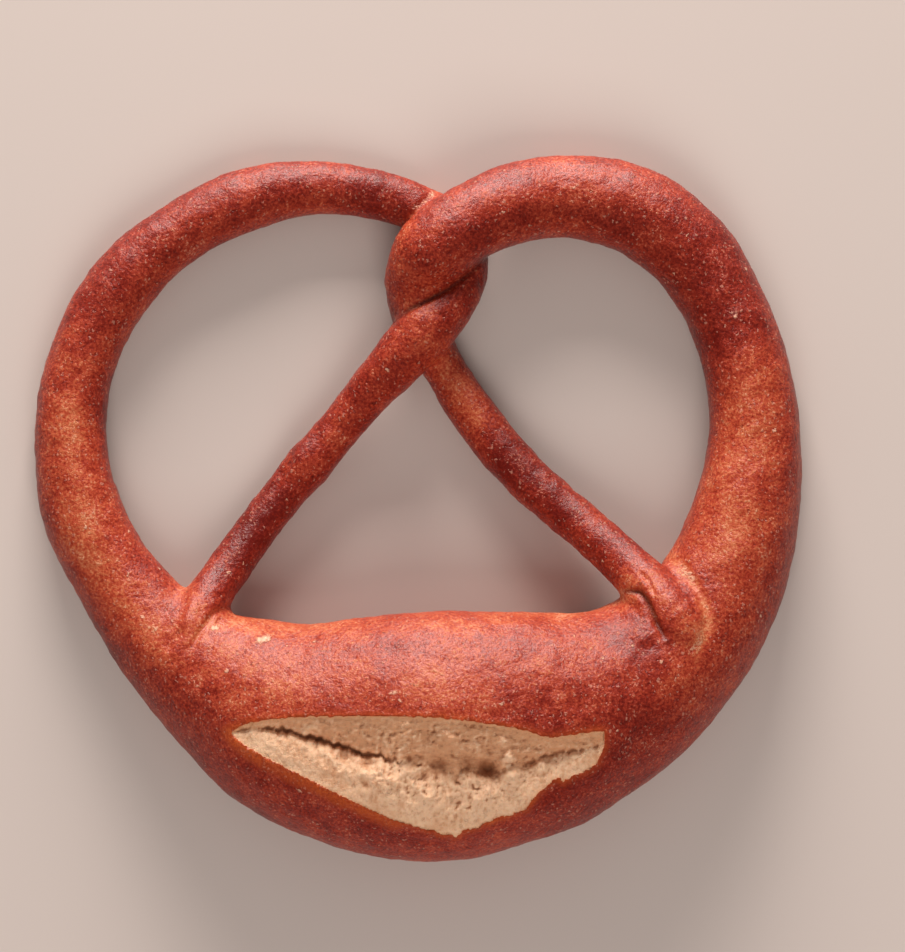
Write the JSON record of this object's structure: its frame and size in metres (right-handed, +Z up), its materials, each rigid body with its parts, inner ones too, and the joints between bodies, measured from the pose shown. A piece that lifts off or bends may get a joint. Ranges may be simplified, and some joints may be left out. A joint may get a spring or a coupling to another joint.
{
  "type": "soft pretzel",
  "caption": "Small soft lye pretzel lying flat: one twisted strand of dough in two loops, its arms pressed onto a thick belly that is slashed open to the pale crumb.",
  "frame": {"origin": "on the surface that the pretzel lies on, under the middle of its outline", "axes": "+Z up out of the face with the twist and the slash, +X towards the right loop, +Y from the belly to the loops"},
  "size_m": [0.128, 0.1172, 0.0279],
  "materials": {
    "crust": "satin, finely blistered lye crust"
  },
  "bodies": {
    "root": {"pretzel": "crust"}
  },
  "joints": []
}
